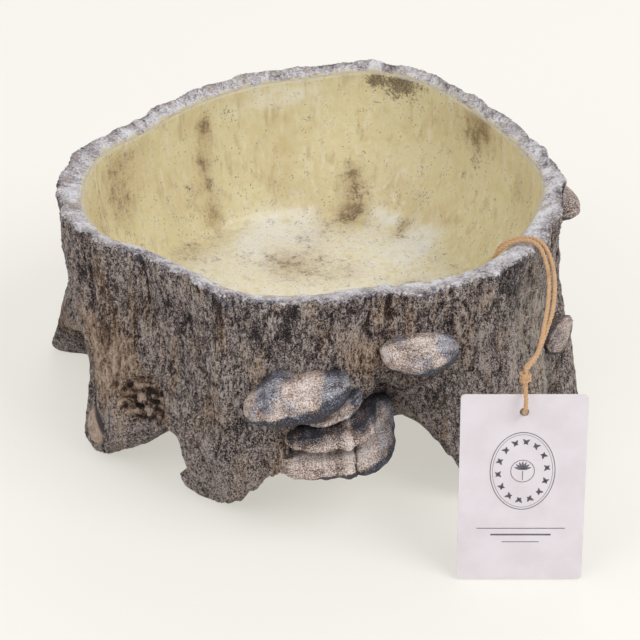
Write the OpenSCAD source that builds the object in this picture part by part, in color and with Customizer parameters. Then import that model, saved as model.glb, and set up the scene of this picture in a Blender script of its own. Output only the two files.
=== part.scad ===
// Faux bois planter: a low stump bowl on seven root feet, with bracket fungi on its bark,
// a drain hole in its floor and a hang tag on a doubled twine over its rim.
// It stands on z = 0 with the middle of its footprint at the origin, and its front looks
// along -Y. An azimuth is in degrees about the bowl's axis, from +X towards +Y. Millimetres.

/* [Bowl] */
// Mean outer radius of the cut rim
rim_r = 112; // [106:1:118]
// Height of the rim's outer edge above the ground
rim_h = 118; // [112:1:126]
// Width of the cut rim, from bark to glaze
rim_w = 10.5; // [9:0.5:12]
// Fall of the cut rim towards the inside
rim_fall = 2.5; // [1:0.5:4]
// Rounding of the rim's edges
rim_round = 2.5; // [1.5:0.5:3.5]
// Mean radius of the floor inside the wall
floor_r = 82; // [76:1:85]
// Thickness of the floor
floor_t = 10; // [7:1:13]
// Height of the underside above the ground
base_h = 36; // [33:1:39]
// Radius of the drain hole
drain_r = 5; // [4:0.5:7]

/* [Bark] */
// Depth of the flutes in the bark
flute_d = 1.4; // [0:0.1:2]
// Number of main flutes round the stump
flutes = 23; // [15:1:29]
// Height of the broad lumps between the flutes
lump_d = 1.6; // [0:0.1:2.2]
// How far the wall draws in at its waist
waist_in = 3; // [0:0.5:5]

/* [Roots] */
// How far each leg reaches in under the wall
leg_in = 27; // [22:1:30]
// Rounding along the lower edge of each foot
toe_round = 4; // [2:0.5:6]
// Thickness at which a root's spread dies out on the bark
root_edge = 1.2; // [0.8:0.1:2]
// Height at which the roots' spread ends on the bark
root_top = 92; // [84:1:98]

/* [Bracket fungi] */
// Thickness at which a bracket's edge ends
bracket_edge = 1; // [0.6:0.1:1.5]

/* [Twine and tag] */
// Diameter of one strand of the twine
twine_d = 2; // [1.6:0.1:2.1]
// Space between the two strands, middle to middle
strand_gap = 2.5; // [2.3:0.1:2.8]
// Radius of the loop in the twine that carries the tag
loop_r = 5.5; // [5:0.25:6]
// Width of the tag
tag_w = 54; // [44:1:60]
// Length of the tag, down from its upper edge
tag_l = 86; // [70:1:87]
// Thickness of the card
tag_t = 0.9; // [0.6:0.1:1.2]
// Radius of the tag's corners
tag_corner = 2; // [1:0.5:4]
// Radius of the hole in the tag
tag_hole_r = 2; // [1.6:0.1:2.5]
// Distance of the hole's middle from the tag's upper edge
tag_hole_in = 7.8; // [7:0.1:9]

/* [Hidden] */

// Seams: what is left between two pieces that were joined wet
seam = 0.35;

// Columns of the bark round the stump, and rows up its outside and down its inside
columns = 120;
turn = 360 / columns;
rows = 11;
inner_rows = 6;

// The bowl's axis, from the middle of the footprint
bowl_x = 0;
bowl_y = 8;

// Plan of the rim: how far it stands out from its mean radius, every 15 degrees from +X
plan_out = [4, -1, -3, -2, 3, 5, -3, -4, -6, -8, -8, 0, 4, 6, 4, -5, -3, 5, 3, -1, 4, 8, 8, 6];
// How the rim rises and falls, and how its width differs from the mean, every 30 degrees
rise_out = [0, 0.5, 1.5, 0, -2, -3, -0.5, 1, 2, 1, -0.5, -0.5];
width_out = [-1, -2, -4, -2.5, -1, -1, 2, 0, -1, 1.5, 2, 3];
// Share of the plan's lobes that is left at the floor
floor_lobes = 0.25;

// Arches where the wall draws in to its underside: azimuth of the middle, half the spread in
// degrees, how far it draws in, how far its lower edge rises, and the height over which it
// draws in
arches = [[290, 22, 17, 22, 26], [197, 27, 16, 4, 55]];
// Height below the rim over which the lumps die out
lump_fade = 25;

// Each root: lower outline as azimuth and height, azimuth of the foot's middle, reach of the
// toe beyond the bark, how far the leg tucks in again below the underside, the height at which
// its spread ends on the bark, and how much its inner side rises towards the flanks. A foot
// stands on the ground where its outline is 0.
crown = base_h - 2;
left = [[[141, crown], [147, 31], [153, 0], [168, 0], [174, 25], [183, 31]],
    161, 24, 0, root_top, 0];
left_front = [[[192, 31], [197, 26], [201, 8], [203.5, 1], [205, 0], [210, 0], [214, 3], [218, 8.5],
    [221.5, 13], [224.5, 17], [227.5, 22], [231, 29.5]], 206, 15, 4, root_top, 0];
front = [[[231, crown], [235, crown], [237, 33], [239.2, 12], [240.2, 8], [242, 1], [243, 0], [247, 0],
    [250, 4], [253.5, 8.5], [257, 17], [261.5, 28], [264, 33], [268, crown], [272, 35.8], [276, 40],
    [280, 46.4], [284, 52], [288, 55.4], [291, 55.5]], 249, 2, 8, root_top, 0];
right_front = [[[293, 54], [296.5, 45], [299.5, 37], [302, 30], [304, 23], [308, 10], [311, 0],
    [327, 0], [331, 22], [336, 30]], 318, 9, 0, 80, 40];
right = [[[336, 30], [342, 24], [345, 0], [360, 0], [366, 28], [375, crown]],
    352, 12.5, 0, root_top, 0];
rear_right = [[[387, crown], [393, 29], [399, 0], [417, 0], [423, 29], [432, crown]],
    408, 12, 0, root_top, 0];
rear = [[[447, crown], [456, 29], [462, 0], [483, 0], [492, 29], [501, crown]],
    474, 15, 0, root_top, 0];
roots = [left, left_front, front, right_front, right, rear_right, rear];
// Side tip of a foot, which points along the bark: its root, azimuth and height of its middle,
// reach in degrees, and half its spread in degrees and in height
side_tip = [2, 238.5, 7, 2.8, 8.5, 9];

// Each bracket: azimuth of its middle, half its spread in degrees, middle height, rise from
// its left end to its right end, thickness above and below the middle, reach
brackets = [
    [267.3, 11.5, 70.5, 10, 10.5, 7, 15],
    [275, 6.5, 65.3, 9, 2, 3, 11.5],
    [275.7, 10.7, 54.3, 5, 4.5, 4.5, 16],
    [277.6, 13.4, 42.3, 2, 5, 6, 21.5],
    [294.5, 8.5, 86, -1, 9, 8, 11],
    [343, 6, 50, 0, 8, 7, 3.5],
    [8, 7, 93, 0, 8, 7, 16.5]
];

// Middle line of the doubled twine: from its end knot inside the bowl, over the rim and
// down to the hitch above the tag. The last point is worked out from the tag.
twine_line = [
    [79, -50, 84], [79.5, -51, 94], [80.5, -52.5, 104.5], [83, -53.5, 112.6], [88.5, -53.5, 116.8],
    [95, -55, 118.8], [100.5, -59.5, 118.8], [103.6, -67, 115], [104.4, -77, 111.2],
    [103, -90, 107], [100, -102, 102.6], [96, -113, 97.6]
];
twine_sides = 8;
twine_cuts = 3;

// The tag leans on its lower edge: azimuth -Y, its upper edge nearer to the bowl
tag_x = 90.5;
tag_foot_y = -143.4;
tag_foot_z = 0.3;
tag_lean = 13;

function mix(a, b, t) = a + (b - a) * t;
function clamp(t) = max(0, min(1, t));
function ease(t) = (1 - cos(180 * clamp(t))) / 2;
function wrap(a) = a - 360 * floor(a / 360);

// Value at azimuth a of an outline given as [azimuth, value] points, eased between them
function eased(p, a, i = 0) =
    i >= len(p) - 2 || a < p[i + 1][0]
        ? mix(p[i][1], p[i + 1][1], ease((a - p[i][0]) / (p[i + 1][0] - p[i][0])))
        : eased(p, a, i + 1);

// Value at t of a smooth curve through the four values p, between the second and the third
function through(p, t) =
    p[1] + 0.5 * t * (p[2] - p[0]
        + t * (2 * p[0] - 5 * p[1] + 4 * p[2] - p[3] + t * (3 * (p[1] - p[2]) + p[3] - p[0])));

// Value at azimuth a of a list that is spread evenly round the bowl
function round_the_bowl(list, a) = let(n = len(list), t = wrap(a) / 360 * n, i = floor(t))
    through([for (k = [-1:2]) list[(i + k + n) % n]], t - i);

function plan(a) = round_the_bowl(plan_out, a);
function rim_z(a) = rim_h + round_the_bowl(rise_out, a);
function rim_width(a) = rim_w + round_the_bowl(width_out, a);
function floor_edge(a) = floor_r + floor_lobes * plan(a);

// Sum over the arches of their value n at azimuth a
function arched(a, n) = let(v = [for (h = arches) let(t = abs(wrap(a) - h[0]) / h[1])
    if (t < 1) ease(1 - t) * h[n]]) len(v) == 0 ? 0 : v[0];
function under_z(a) = base_h + arched(a, 3);
function drawn_in(a, z) = let(v = [for (h = arches) let(t = abs(wrap(a) - h[0]) / h[1])
    if (t < 1) ease(1 - t) * h[2] * pow(clamp((under_z(a) + h[4] - z) / h[4]), 2)])
    len(v) == 0 ? 0 : v[0];
function flute(a, z) = flute_d * (0.6 * sin(flutes * a + 40 * sin(3 * a) + 1.3 * z)
    + 0.4 * sin((2 * flutes - 5) * a + 60 * sin(7 * a) - 0.9 * z));
function lump(a, z) = lump_d * clamp((rim_z(a) - z) / lump_fade)
    * (0.6 * sin(17 * a + 60 * sin(2 * a) + 2.1 * z) * cos(4.5 * z + 50 * sin(5 * a))
        + 0.4 * sin(31 * a + 80 * sin(3 * a) - 3 * z) * cos(7 * z + 90 * sin(4 * a)));

// Radius of the stump without its flutes and lumps
function stump_r(a, z) = let(up = clamp((z - base_h) / (rim_h - base_h)))
    rim_r + plan(a) - waist_in * sin(180 * up) - drawn_in(a, z);
function bark_r(a, z) = stump_r(a, z) + flute(a, z) + lump(a, z);

// Points of the bark: column i, row j
function row_z(a, j) = mix(under_z(a), rim_z(a) - rim_round, j / rows);
function column_r(i, z) = let(
    a = i * turn,
    v = rows * clamp((z - row_z(a, 0)) / (row_z(a, rows) - row_z(a, 0))),
    j = min(floor(v), rows - 1))
    mix(bark_r(a, row_z(a, j)), bark_r(a, row_z(a, j + 1)), v - j);
function wall_at(a, z) = let(u = a / turn, i = floor(u), f = u - i)
    f < 0.001 ? column_r(i, z) : mix(column_r(i, z), column_r(i + 1, z), f);

// Section of the wall at an azimuth, as [radius, height] up the bark, over the rim and down
function wall_section(a) = let(
    top = rim_z(a),
    r = bark_r(a, top - rim_round),
    in_z = top - rim_fall,
    in_r = rim_r + plan(a) - rim_width(a),
    c = rim_round * (1 - cos(45)),
    low = base_h + floor_t,
    e = floor_edge(a))
    concat(
        [for (j = [0:rows]) let(z = row_z(a, j)) [bark_r(a, z), z]],
        [[r - c, top - c], [r - rim_round, top],
         [in_r + rim_round, in_z], [in_r + c, in_z - c]],
        [for (k = [0:inner_rows]) let(t = 1 - k / inner_rows)
            [mix(e, in_r, 1 - pow(1 - t, 2.2)), mix(low, in_z - rim_round, t)]],
        [[e, base_h]]);

// Largest radius of the wall a little below and above height z
function wall_near(a, z) = max([for (h = [z - 3, z, z + 3]) wall_at(a, h)]);

// Root k at azimuth a: share of the way from its middle to its end, how strongly it swells
// there, and how high it spreads on the bark
function flank(k, a) = let(o = roots[k][0], m = roots[k][1])
    a < m ? (m - a) / (m - o[0][0]) : (a - m) / (o[len(o) - 1][0] - m);
function swell(k, a) = pow(max(0, 1 - pow(flank(k, a), 2)), 1.2);
// Rows of the bark that a root's spread always covers
seat_rows = 3;
function spread_z(k, a) = mix(row_z(a, seat_rows) + 3, roots[k][4], pow(swell(k, a), 0.6));
function root_r(k, a, z) = let(top = spread_z(k, a))
    wall_near(a, z) + seam + root_edge + roots[k][2] * swell(k, a) * pow(clamp((top - z) / top), 1.7)
    - roots[k][3] * pow(clamp((base_h - z) / base_h), 1.5);
root_levels = 6;
function tip_turn(k, a, z) = k != side_tip[0] ? 0
    : -side_tip[3] * ease(1 - abs(a - side_tip[1]) / side_tip[4]) * ease(1 - abs(z - side_tip[2]) / side_tip[5]);
function root_outer(k, a) = let(
    h = eased(roots[k][0], a),
    toe = min(toe_round, 0.4 * (under_z(a) - h)),
    top = spread_z(k, a),
    r = root_r(k, a, h + toe))
    concat(
        [[r - toe, h, tip_turn(k, a, h)], [r - 0.3 * toe, h + 0.3 * toe, tip_turn(k, a, h + 0.3 * toe)]],
        [for (n = [0:root_levels]) let(z = mix(h + toe, top, n / root_levels))
            [root_r(k, a, z), z, tip_turn(k, a, z)]]);
function root_inner(k, a) = let(
    h = eased(roots[k][0], a),
    edge = wall_at(a, 0) + seam,
    deep = max(floor_edge(a), edge - leg_in * mix(0.4, 1, swell(k, a))),
    low = under_z(a),
    top = spread_z(k, a))
    concat(
        [[deep, min(h + roots[k][5] * flank(k, a), base_h - 2)], [deep + 2, base_h - seam],
         [edge, low - seam]],
        [for (n = [1:seat_rows]) let(z = row_z(a, n)) [wall_at(a, z) + seam, z]],
        [for (n = [seat_rows + 1:root_levels])
            let(z = mix(row_z(a, seat_rows), top, (n - seat_rows) / (root_levels - seat_rows)))
            [wall_near(a, z) + seam, z]]);

// Azimuths from a to b that keep to the columns of the bark, cut a little short at both ends
function stops(a, b, part = 1) = let(d = turn / part, e = 0.15)
    concat([a + e], [for (i = [floor(a / d + 0.2) + 1:ceil(b / d - 0.2) - 1]) i * d], [b - e]);
function first_az(k) = roots[k][0][0][0];
function last_az(k) = let(o = roots[k][0]) o[len(o) - 1][0];

// Radius of what a bracket or a boss sits on: the roots' spread where there is one, else bark
function turned(k, a) = a < first_az(k) ? a + 360 : a;
function column_skin(i, z) = let(
    a = wrap(i * turn),
    on = [for (k = [0:len(roots) - 1]) let(b = turned(k, a))
        if (b < last_az(k) && z < spread_z(k, b)) k])
    len(on) == 0 ? column_r(i, z)
        : seam + lookup(z, [for (p = root_outer(on[0], turned(on[0], a))) [p[1], p[0]]]);
// Between two columns, or the outer one where a spread's edge lies between them
function seated(r, s, f) = abs(r - s) > root_edge ? max(r, s) : mix(r, s, f);
function skin_at(a, z) = let(u = a / turn, i = floor(u), f = u - i)
    f < 0.001 ? column_skin(i, z) : seated(column_skin(i, z), column_skin(i + 1, z), f);

// Largest radius of the skin from d below height z to d above it
function skin_near(a, z, d) = max([for (h = [z - d, z, z + d]) skin_at(a, h)]) + seam;

// Skins a row of sections into one closed solid. A section is [azimuth, points], where the
// points run up the inner side and then down the outer side, as radius, height and, where it
// isn't 0, the angle by which the point is turned out of its section. Its quads are split the
// same way as those of the surface that it sits on.
module skinned(sections, closed = false) {
    n = len(sections);
    m = len(sections[0][1]);
    points = [for (s = sections) for (p = s[1]) let(a = s[0] + (len(p) > 2 ? p[2] : 0))
        [bowl_x + p[0] * cos(a), bowl_y + p[0] * sin(a), p[1]]];
    sides = [for (i = [0:closed ? n - 1 : n - 2]) for (k = [0:m - 1])
        let(a = i * m + k, b = i * m + (k + 1) % m,
            c = (i + 1) % n * m + k, d = (i + 1) % n * m + (k + 1) % m)
        each k < m / 2 && !closed ? [[c, b, a], [c, d, b]] : [[d, b, a], [c, d, a]]];
    last = (n - 1) * m;
    ends = closed ? [] : [for (k = [0:m / 2 - 2]) let(a = k, b = k + 1, c = m - 2 - k, d = m - 1 - k)
        each [[b, c, d], [a, b, d], [last + c, last + b, last + a], [last + d, last + c, last + a]]];
    polyhedron(points = points, faces = concat(sides, ends), convexity = 8);
}

function reversed(p) = [for (i = [len(p) - 1:-1:0]) p[i]];

// Cast stump wall: bark outside, a cut rim, a smooth glazed inside that narrows to the floor
module stump_wall() {
    color([0.36, 0.32, 0.30])
        skinned([for (i = [0:columns - 1]) [i * turn, reversed(wall_section(i * turn))]], closed = true);
}

// Floor slab inside the foot of the wall, with its drain hole in the middle of the footprint
module bowl_floor() {
    color([0.82, 0.76, 0.50])
        translate([0, 0, base_h])
            difference() {
                linear_extrude(height = floor_t)
                    polygon([for (i = [0:columns - 1]) let(a = i * turn, r = floor_edge(a) - seam)
                        [bowl_x + r * cos(a), bowl_y + r * sin(a)]]);
                translate([0, 0, -1])
                    cylinder(r = drain_r, h = floor_t + 2, $fn = 48);
            }
}

// A root: a leg under the wall whose spread lies on the bark above
module root(k) {
    skinned([for (a = stops(first_az(k), last_az(k)))
        [a, concat(root_inner(k, a), reversed(root_outer(k, a)))]]);
}

module left_root() { color([0.40, 0.37, 0.33]) root(0); }
module left_front_root() { color([0.44, 0.37, 0.30]) root(1); }
module front_root() { color([0.39, 0.36, 0.33]) root(2); }
module right_front_root() { color([0.37, 0.34, 0.31]) root(3); }
module right_root() { color([0.42, 0.38, 0.34]) root(4); }
module rear_right_root() { color([0.39, 0.36, 0.32]) root(5); }
module rear_root() { color([0.40, 0.36, 0.33]) root(6); }

// A bracket fungus: a shelf that swells from the bark to a rounded lip, thin at both ends.
// The profile gives points from its lower to its upper root, as shares of reach and height.
bracket_profile = [[0.12, 0], [0.58, 0.05], [0.9, 0.16], [1, 0.32], [0.92, 0.55], [0.62, 0.82], [0.2, 1]];
function bracket_section(b, a) = let(
    s = (a - b[0]) / b[1],
    e = sqrt(max(0, 1 - s * s)),
    z = b[2] + b[3] / 2 * s,
    low = z - b[5] * e - bracket_edge / 2,
    high = z + b[4] * e + bracket_edge / 2,
    base = skin_near(a, z, (high - low) / 2),
    lip = mix(skin_near(b[0], b[2], (b[4] + b[5]) / 2), base, s * s),
    p = max(bracket_edge, lip - base + bracket_edge + b[6] * sqrt(max(0, 1 - pow(abs(s), 2.4)))),
    last = len(bracket_profile) - 1)
    concat(
        [for (n = [0:last]) let(h = mix(low, high, n / last)) [skin_near(a, h, (high - low) / 12), h]],
        [for (q = reversed(bracket_profile)) [base + q[0] * p, mix(low, high, q[1])]]);
module bracket(n) {
    b = brackets[n];
    skinned([for (a = stops(b[0] - b[1], b[0] + b[1], 2)) [a, bracket_section(b, a)]]);
}

module bracket_top() { color([0.60, 0.54, 0.51]) bracket(0); }
module bracket_second() { color([0.58, 0.50, 0.42]) bracket(1); }
module bracket_third() { color([0.46, 0.44, 0.45]) bracket(2); }
module bracket_bottom() { color([0.62, 0.54, 0.45]) bracket(3); }
module bracket_right_front() { color([0.60, 0.55, 0.53]) bracket(4); }
module bracket_right() { color([0.52, 0.48, 0.45]) bracket(5); }
module bracket_rear_right() { color([0.60, 0.57, 0.52]) bracket(6); }

// A boss on the bark: az and z of its middle, half height, and its thickness by the distance
// from its middle, from 0 at the middle to 1 at its edge
function boss_section(az, z, half, depth, a) = let(
    half_az = half / stump_r(az, z) * 180 / PI,
    s = (a - az) / half_az,
    e = sqrt(max(0, 1 - s * s)),
    h = half * e + bracket_edge / 2)
    concat(
        [for (n = [-3:3]) let(y = z + h * n / 3) [skin_near(a, y, h / 6), y]],
        [for (n = [3:-1:-3]) let(y = z + h * n / 3, d = sqrt(pow(s, 2) + pow(e * n / 3, 2)))
            [skin_near(a, y, h / 6) + lookup(d, depth), y]]);
module boss(az, z, half, depth) {
    half_az = half / stump_r(az, z) * 180 / PI;
    skinned([for (a = stops(az - half_az, az + half_az, 2)) [a, boss_section(az, z, half, depth, a)]]);
}

// Healed-over rim of bark round a rotten knot
module knot_collar() {
    color([0.50, 0.42, 0.33]) boss(222, 44, 10.5, [[0, 0.9], [0.35, 1.2], [0.65, 4], [0.85, 3.4], [1, 0.9]]);
}

// Sawn stub of a side root
module root_stub() {
    color([0.66, 0.54, 0.42]) boss(208, 14, 8, [[0, 2.8], [0.7, 2.6], [0.88, 2], [1, 0.9]]);
}

// The tag's own frame: origin at the middle of the twine's loop, X across, Z up the card
lean_up = [0, sin(tag_lean), cos(tag_lean)];
hole_up = tag_l - tag_hole_in;
loop_mid = [tag_x, tag_foot_y, tag_foot_z] + (hole_up + loop_r) * lean_up;
// Height of the hitch, its middle above the loop's middle, and its radius
hitch_h = 6;
hitch_up = loop_r + 4.6;
hitch_r = 3.4;
// How far the strands run straight on at both ends of the hitch, and the play round them in it
hitch_lead = 0.7;
hitch_play = 0.2;
module in_tag_frame() { translate(loop_mid) rotate([-tag_lean, 0, 0]) children(); }
function from_tag(p) = loop_mid + [p[0], p[1] * cos(tag_lean) + p[2] * sin(tag_lean),
    p[2] * cos(tag_lean) - p[1] * sin(tag_lean)];

// Route of the twine: up one strand, down to the hitch, round the loop through the tag's
// hole, and back along the other strand
function curve(p, cuts) = [for (i = [0:len(p) - 2]) for (c = [0:cuts - 1])
    through([p[max(i - 1, 0)], p[i], p[i + 1], p[min(i + 2, len(p) - 1)]], c / cuts)];
function unit(v) = v / norm(v);
function tangent(p, i) = unit(p[min(i + 1, len(p) - 1)] - p[max(i - 1, 0)]);
hitch_top = from_tag([0, 0, hitch_up + hitch_h / 2 + hitch_lead]);
middle_line = concat(curve(concat(twine_line, [hitch_top]), twine_cuts), [hitch_top]);
// Sideways direction of the pair: level, across the line, and turned to the loop at the end
function across(i) = let(n = len(middle_line) - 1, t = tangent(middle_line, i),
    level = unit(cross(t, [0, 0, 1])), end = from_tag([0, -1, 0]) - loop_mid)
    unit(mix(level, end, ease((i - n + 14) / 14)));
function strand(side) = [for (i = [0:len(middle_line) - 1])
    middle_line[i] + side * strand_gap / 2 * across(i)];
loop_steps = 12;
// Angle at which the loop leaves the strands, and the lead between it and the hitch
loop_open = 32;
twine_route = concat(
    strand(1),
    [from_tag([0, -strand_gap / 2, hitch_up - hitch_h / 2 - hitch_lead])],
    [for (n = [0:loop_steps]) let(g = mix(loop_open, 360 - loop_open, n / loop_steps))
        from_tag([0, -loop_r * sin(g), loop_r * cos(g)])],
    [from_tag([0, strand_gap / 2, hitch_up - hitch_h / 2 - hitch_lead])],
    reversed(strand(-1)));

// A round tube along a route, as one closed solid
module tube(route, r, sides) {
    n = len(route);
    frames = [for (i = 0, t = tangent(route, 0), x = unit(cross(t, [0, 0.3, 1]));
        i < n;
        i = i + 1, t = tangent(route, min(i, n - 1)), x = unit(x - (x * t) * t)) [x, cross(t, x)]];
    points = [for (i = [0:n - 1]) for (s = [0:sides - 1]) let(g = 360 * s / sides)
        route[i] + r * (frames[i][0] * cos(g) + frames[i][1] * sin(g))];
    walls = [for (i = [0:n - 2]) for (s = [0:sides - 1])
        let(a = i * sides + s, b = i * sides + (s + 1) % sides, c = a + sides, d = b + sides)
        each [[a, b, d], [a, d, c]]];
    caps = [[for (s = [sides - 1:-1:0]) s], [for (s = [0:sides - 1]) (n - 1) * sides + s]];
    polyhedron(points = points, faces = concat(reverse_faces(walls), reverse_faces(caps)), convexity = 10);
}
function reverse_faces(f) = [for (q = f) reversed(q)];

// Jute twine, folded in the middle so that both strands cross the rim side by side
module twine() {
    color([0.72, 0.55, 0.33]) tube(twine_route, twine_d / 2, twine_sides);
}

// Knot that holds the strands together above the tag, with a way through it for each strand
module twine_hitch() {
    steps = 10;
    color([0.70, 0.53, 0.31])
        in_tag_frame()
            translate([0, 0, hitch_up - hitch_h / 2])
                difference() {
                    rotate_extrude($fn = 40)
                        polygon(concat(
                            [[0, 0]],
                            [for (n = [0:steps]) let(t = n / steps)
                                [hitch_r * sqrt(sin(180 * mix(0.2, 0.8, t))), hitch_h * t]],
                            [[0, hitch_h]]));
                    for (side = [-1, 1])
                        translate([0, side * strand_gap / 2, -1])
                            cylinder(d = twine_d + 2 * hitch_play, h = hitch_h + 2, $fn = 24);
                }
}

// Overhand knot that joins the two ends inside the bowl
knot_r = 3.6;
knot_squash = 0.8;
module twine_end_knot() {
    start = middle_line[0];
    t = tangent(middle_line, 0);
    color([0.70, 0.53, 0.31])
        translate(start - 0.1 * t)
            rotate([0, acos(t[2]), atan2(t[1], t[0])])
                rotate_extrude($fn = 48)
                    polygon(concat(
                        [for (n = [0:18]) let(g = mix(-90, asin(knot_squash), n / 18))
                            [knot_r * cos(g), knot_r * (sin(g) - knot_squash)]],
                        [[0, 0]]));
}

// Card hang tag with a punched hole, standing on its lower edge
module hang_tag() {
    color([0.93, 0.90, 0.92])
        in_tag_frame()
            translate([0, tag_t / 2, -hole_up - loop_r])
                rotate([90, 0, 0])
                    difference() {
                        linear_extrude(height = tag_t)
                            hull()
                                for (x = [-1, 1], y = [0, 1])
                                    translate([x * (tag_w / 2 - tag_corner),
                                        mix(tag_corner, tag_l - tag_corner, y)])
                                        circle(r = tag_corner, $fn = 32);
                        translate([0, hole_up, -1])
                            cylinder(r = tag_hole_r, h = tag_t + 2, $fn = 32);
                    }
}

stump_wall();
bowl_floor();
left_root();
left_front_root();
front_root();
right_front_root();
right_root();
rear_right_root();
rear_root();
bracket_top();
bracket_second();
bracket_third();
bracket_bottom();
bracket_right_front();
bracket_right();
bracket_rear_right();
knot_collar();
root_stub();
twine();
twine_hitch();
twine_end_knot();
hang_tag();
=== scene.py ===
import math

import bpy
import numpy as np
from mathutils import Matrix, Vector


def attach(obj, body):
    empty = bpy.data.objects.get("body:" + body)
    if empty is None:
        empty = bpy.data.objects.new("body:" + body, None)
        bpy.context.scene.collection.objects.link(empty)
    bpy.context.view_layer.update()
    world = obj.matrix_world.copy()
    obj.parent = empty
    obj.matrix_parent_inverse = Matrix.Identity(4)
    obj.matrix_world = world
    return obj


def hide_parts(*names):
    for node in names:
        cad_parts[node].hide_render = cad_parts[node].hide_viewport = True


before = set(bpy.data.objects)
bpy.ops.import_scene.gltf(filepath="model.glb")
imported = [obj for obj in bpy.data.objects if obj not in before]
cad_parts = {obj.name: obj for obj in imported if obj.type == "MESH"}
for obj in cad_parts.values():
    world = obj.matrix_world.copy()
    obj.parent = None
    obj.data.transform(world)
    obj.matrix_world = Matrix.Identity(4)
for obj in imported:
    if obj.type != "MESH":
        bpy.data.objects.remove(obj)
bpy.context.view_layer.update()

# Camera
# The photograph's view: straight on to the front, from 33 degrees above, through a long lens
# that stands 1.1 m away from the point it is aimed at.
raised, eye_away = math.radians(33), 1.1
aim = Vector((0.0042, 0.0194, 0.0283))
eye = bpy.data.objects.new("eye", bpy.data.cameras.new("eye"))
bpy.context.collection.objects.link(eye)
bpy.context.scene.camera = eye
eye.data.sensor_width, eye.data.lens = 36, 126.85
eye.data.clip_start, eye.data.clip_end = 0.05, 20
eye.location = aim + Vector((0, -math.cos(raised), math.sin(raised))) * eye_away
eye.rotation_euler = (math.pi / 2 - raised, 0, 0)

# Twine
# Two strands of 2 mm jute, laid from three yarns each. They run from the knot inside the bowl
# over the rim, down through the hitch, round a small loop through the card and back.
twine_line = [
    [79, -50, 84], [79.5, -51, 94], [80.5, -52.5, 104.5], [83, -53.5, 112.6], [88.5, -53.5, 116.8],
    [95, -55, 118.8], [100.5, -59.5, 118.8], [103.6, -67, 115], [104.4, -77, 111.2],
    [103, -90, 107], [100, -102, 102.6], [96, -113, 97.6],
]
card_h, hole_down, tag_lean = 86, 7.8, math.radians(13)
card_foot = np.array([90.5, -143.4, 0.3])
card_up = np.array([0, math.sin(tag_lean), math.cos(tag_lean)])
card_out = np.array([0, -math.cos(tag_lean), math.sin(tag_lean)])
loop_r, strand_gap, twine_d = 5.5, 2.5, 2.0
hitch_up, hitch_reach, turn_over = 4.6, 3.7, 28
loop_mid = card_foot + (card_h - hole_down + loop_r) * card_up
hitch_mid = loop_mid + (loop_r + hitch_up) * card_up


def beside(*grids):
    """Grids of points or marks as one, side by side."""
    return np.concatenate(grids, 1)


def limited(x):
    return np.clip(x, 0, 1)


def ease(t):
    """Smooth step from 0 to 1."""
    return (1 - np.cos(np.pi * limited(t))) / 2


def unit(v):
    return v / np.linalg.norm(v, axis=-1, keepdims=True)


def through(p, t):
    """Points of a smooth curve through four points, at t from the second to the third."""
    bent = t * (3 * (p[1] - p[2]) + p[3] - p[0])
    return p[1] + 0.5 * t * (p[2] - p[0] + t * (2 * p[0] - 5 * p[1] + 4 * p[2] - p[3] + bent))


def smooth_line(points, cuts):
    p = np.asarray(points, float)
    p = np.vstack([2 * p[0] - p[1], p, 2 * p[-1] - p[-2]])
    t = np.arange(cuts)[:, None] / cuts
    return np.vstack([through(p[i : i + 4], t) for i in range(len(p) - 3)] + [p[-2:-1]])


def gone_along(line):
    """Length of a line up to each of its points."""
    return np.append(0, np.cumsum(np.linalg.norm(np.diff(line, axis=0), axis=1)))


def evenly(line, step):
    """The same line with points a step apart."""
    gone = gone_along(line)
    at = np.linspace(0, gone[-1], int(gone[-1] / step) + 1)
    return np.stack([np.interp(at, gone, line[:, k]) for k in range(3)], 1)


def carried_frame(line):
    """Two sideways directions that don't twist along the line."""
    t = unit(np.gradient(line, axis=0))
    x = np.zeros_like(t)
    x[0] = unit(np.cross(t[0], [0.1, 0.3, 1]))
    for i in range(1, len(line)):
        x[i] = unit(x[i - 1] - np.dot(x[i - 1], t[i]) * t[i])
    return x, np.cross(t, x)


def grid_faces(grid, loop_n=False, loop_m=False):
    """Quads of an n by m grid of points, closed along either way where asked."""
    n, m = grid.shape[:2]
    i, j = np.meshgrid(np.arange(n if loop_n else n - 1), np.arange(m if loop_m else m - 1), indexing="ij")
    i, j, i2, j2 = i.ravel(), j.ravel(), (i.ravel() + 1) % n, (j.ravel() + 1) % m
    return np.stack([i * m + j, i2 * m + j, i2 * m + j2, i * m + j2], 1)


def joined(parts):
    """Several pairs of points and faces as one."""
    starts = np.cumsum([0] + [len(points) for points, _ in parts])
    return np.vstack([p for p, _ in parts]), np.vstack([f + k for (_, f), k in zip(parts, starts)])


def laid_yarns(line, cord_r, pitch, phase=0.0, yarns=3, sides=8):
    """Yarns twisted round a line."""
    x, y = carried_frame(line)
    gone = gone_along(line)
    yarn_r = cord_r * 0.53
    h = (np.arange(sides) * 2 * np.pi / sides)[None, :, None]
    parts = []
    for k in range(yarns):
        g = (2 * np.pi * (gone / pitch + k / yarns) + phase)[:, None]
        middle = line + (cord_r - yarn_r) * (np.cos(g) * x + np.sin(g) * y)
        u, v = carried_frame(middle)
        uneven = 1 + 0.07 * np.sin(gone * 2.3 + 2 * k)[:, None, None]
        yarn = middle[:, None] + yarn_r * uneven * (np.cos(h) * u[:, None] + np.sin(h) * v[:, None])
        parts.append((yarn.reshape(-1, 3), grid_faces(yarn, loop_m=True)))
    return joined(parts)


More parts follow.
